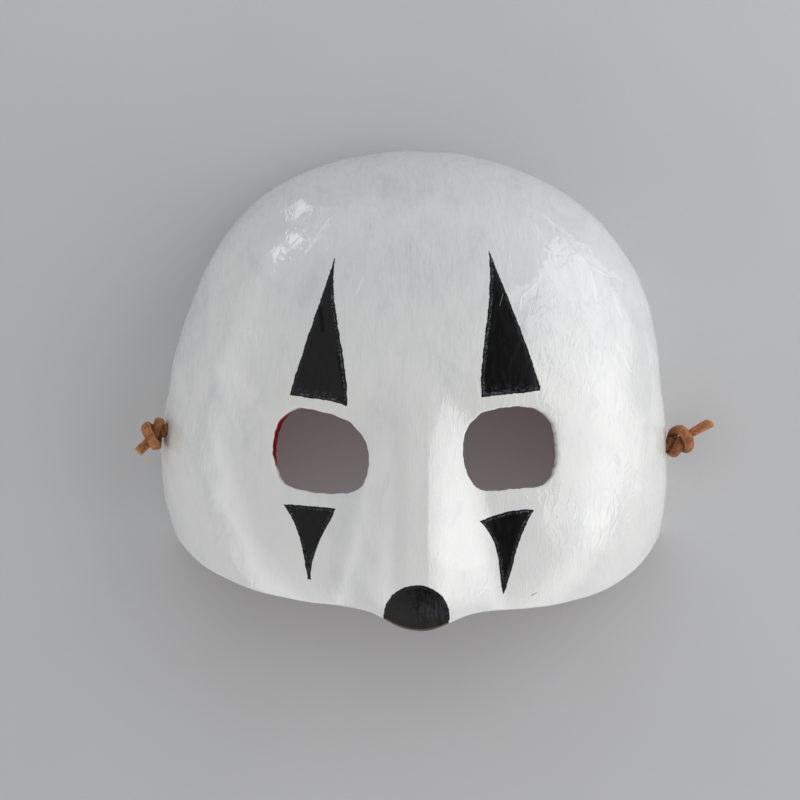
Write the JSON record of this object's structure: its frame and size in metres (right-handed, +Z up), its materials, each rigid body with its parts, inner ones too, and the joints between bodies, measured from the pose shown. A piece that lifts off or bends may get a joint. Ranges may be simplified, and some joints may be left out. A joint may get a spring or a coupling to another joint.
{
  "type": "costume mask",
  "caption": "Half mask covering forehead, cheeks and nose, a painted papier-mache shell with open eye holes and a leather tie knotted at the temples.",
  "frame": {"origin": "under the middle of the shell, in the plane of the rim that the mask lies on", "axes": "+Z up out of the face, +Y towards the top of the forehead, +X to the right of someone who looks at the face"},
  "size_m": [0.1991, 0.1636, 0.0796],
  "materials": {
    "painted_paper": "gloss",
    "leather": "matte"
  },
  "bodies": {
    "root": {"mask_shell": "painted_paper", "tie_cord": "leather", "knot_left": "leather", "knot_right": "leather"}
  },
  "joints": []
}
